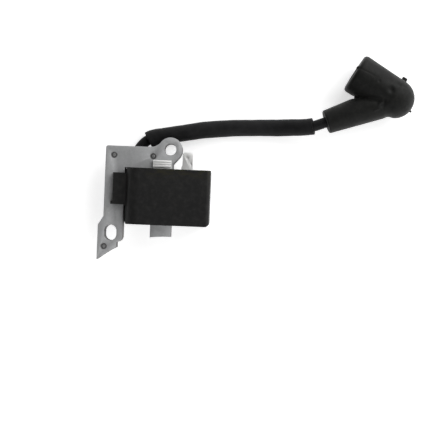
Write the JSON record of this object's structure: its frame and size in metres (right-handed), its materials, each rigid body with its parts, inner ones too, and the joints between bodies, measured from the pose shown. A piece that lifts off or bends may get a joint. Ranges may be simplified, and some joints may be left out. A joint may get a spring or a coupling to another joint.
{
  "type": "ignition coil",
  "caption": "Small-engine ignition coil: riveted laminated core, potted coil case, spade stop terminal, sleeved high-tension lead and a turning elbow plug boot.",
  "frame": {"origin": "centre of the upper M5 mounting hole, on the core's back face", "axes": "+X across the core's two legs towards its free side, +Y away from the flywheel, +Z along the mounting hole out of the core's front"},
  "size_m": [0.1447, 0.0997, 0.025],
  "materials": {
    "core_steel": "satin",
    "rivet_steel": "satin",
    "case_plastic": "satin",
    "resin": "gloss",
    "bobbin_nylon": "matte",
    "enamelled_copper": "gloss",
    "board_laminate": "satin",
    "component_black": "matte",
    "resistor_body": "satin",
    "capacitor_body": "gloss",
    "tinned_steel": "bright",
    "pin_brass": "bright",
    "lead_jacket": "satin",
    "sleeve_plastic": "matte",
    "boot_rubber": "matte",
    "spring_steel": "bright"
  },
  "bodies": {
    "coil": {"lamination_1": "core_steel", "lamination_2": "core_steel", "lamination_3": "core_steel", "lamination_4": "core_steel", "lamination_5": "core_steel", "lamination_6": "core_steel", "lamination_7": "core_steel", "lamination_8": "core_steel", "lamination_9": "core_steel", "lamination_10": "core_steel", "lamination_11": "core_steel", "lamination_12": "core_steel", "core_rivets": "rivet_steel", "coil_case": "case_plastic", "potting_resin": "resin", "primary_bobbin": "bobbin_nylon", "secondary_bobbin": "bobbin_nylon", "primary_winding": "enamelled_copper", "secondary_winding": "enamelled_copper", "primary_wires": "enamelled_copper", "ht_link": "enamelled_copper", "circuit_board": "board_laminate", "power_transistor": "component_black", "control_transistor": "component_black", "diode": "component_black", "resistors": "resistor_body", "capacitor": "capacitor_body", "stop_terminal": "tinned_steel", "core_clip": "tinned_steel", "ht_pin": "pin_brass", "ht_lead_root": "lead_jacket", "ht_lead": "lead_jacket", "ht_lead_tip": "lead_jacket", "lead_sleeve": "sleeve_plastic"},
    "boot": {"plug_boot": "boot_rubber", "contact_spring": "spring_steel"}
  },
  "joints": [
    {"name": "boot_swivel", "type": "hinge", "parent": "coil", "child": "boot", "pos_m": [0.0718, 0.0161, 0.0011], "axis": [0.9317, 0.3633, 0], "range_deg": [0, 180]}
  ]
}
